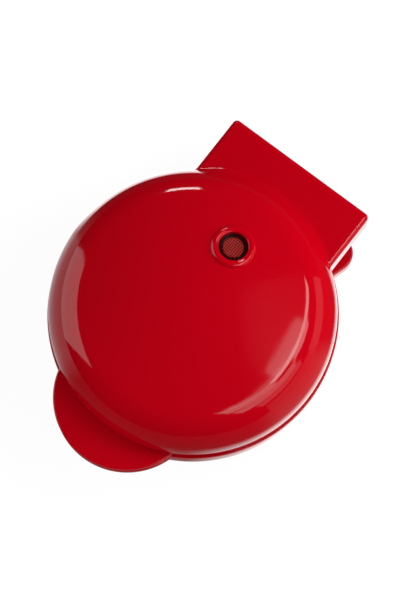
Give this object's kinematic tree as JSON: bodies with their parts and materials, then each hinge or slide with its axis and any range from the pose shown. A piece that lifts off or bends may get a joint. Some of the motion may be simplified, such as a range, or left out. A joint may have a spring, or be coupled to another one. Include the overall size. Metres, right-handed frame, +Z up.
{
  "type": "mini waffle maker",
  "caption": "Round countertop mini waffle maker: domed lid hinged on a rear block over a footed bowl, two studded plates, front tabs and a lamp.",
  "frame": {"origin": "on the table under the common axis of the two plates, between the feet, at the centre of the object's length and width", "axes": "+X to the right seen from the front, +Y to the hinge at the back, +Z up"},
  "size_m": [0.127, 0.157, 0.0703],
  "materials": {
    "red_plastic": "glossy moulded red",
    "nonstick": "dark non-stick coating on cast aluminium",
    "sheath": "heater sheath",
    "sheet": "pressed sheet",
    "steel": "zinc-plated",
    "black_plastic": "fine matt",
    "rubber": "matt",
    "lens": "translucent red",
    "bulb": "clear neon bulb",
    "white_plastic": "heat-proof moulding",
    "sleeve": "braided glass fibre"
  },
  "bodies": {
    "base": {"base_housing": "red_plastic", "base_frame": "red_plastic", "lower_plate": "nonstick", "lower_heater": "sheath", "lower_reflector": "sheet", "lower_plate_screws": "steel", "lower_reflector_screws": "steel", "housing_screws": "steel", "hinge_pin_left": "steel", "hinge_pin_right": "steel", "cord_gland": "black_plastic", "thermal_fuse": "steel", "terminal_block": "white_plastic", "base_wires": "sleeve", "wire_sleeve_base": "sleeve", "foot_front_left": "rubber", "foot_front_right": "rubber", "foot_rear_left": "rubber", "foot_rear_right": "rubber"},
    "lid": {"lid_housing": "red_plastic", "lid_frame": "red_plastic", "upper_plate": "nonstick", "upper_heater": "sheath", "upper_reflector": "sheet", "upper_plate_screws": "steel", "upper_reflector_screws": "steel", "thermostat": "steel", "wire_sleeve_lid": "sleeve", "lamp_holder": "black_plastic", "indicator_lens": "lens", "indicator_bulb": "bulb"}
  },
  "joints": [
    {"name": "lid_hinge", "type": "hinge", "parent": "base", "child": "lid", "pos_m": [0, 0.0702, 0.04434], "axis": [-1, 0, 0], "range_deg": [0, 100]}
  ]
}
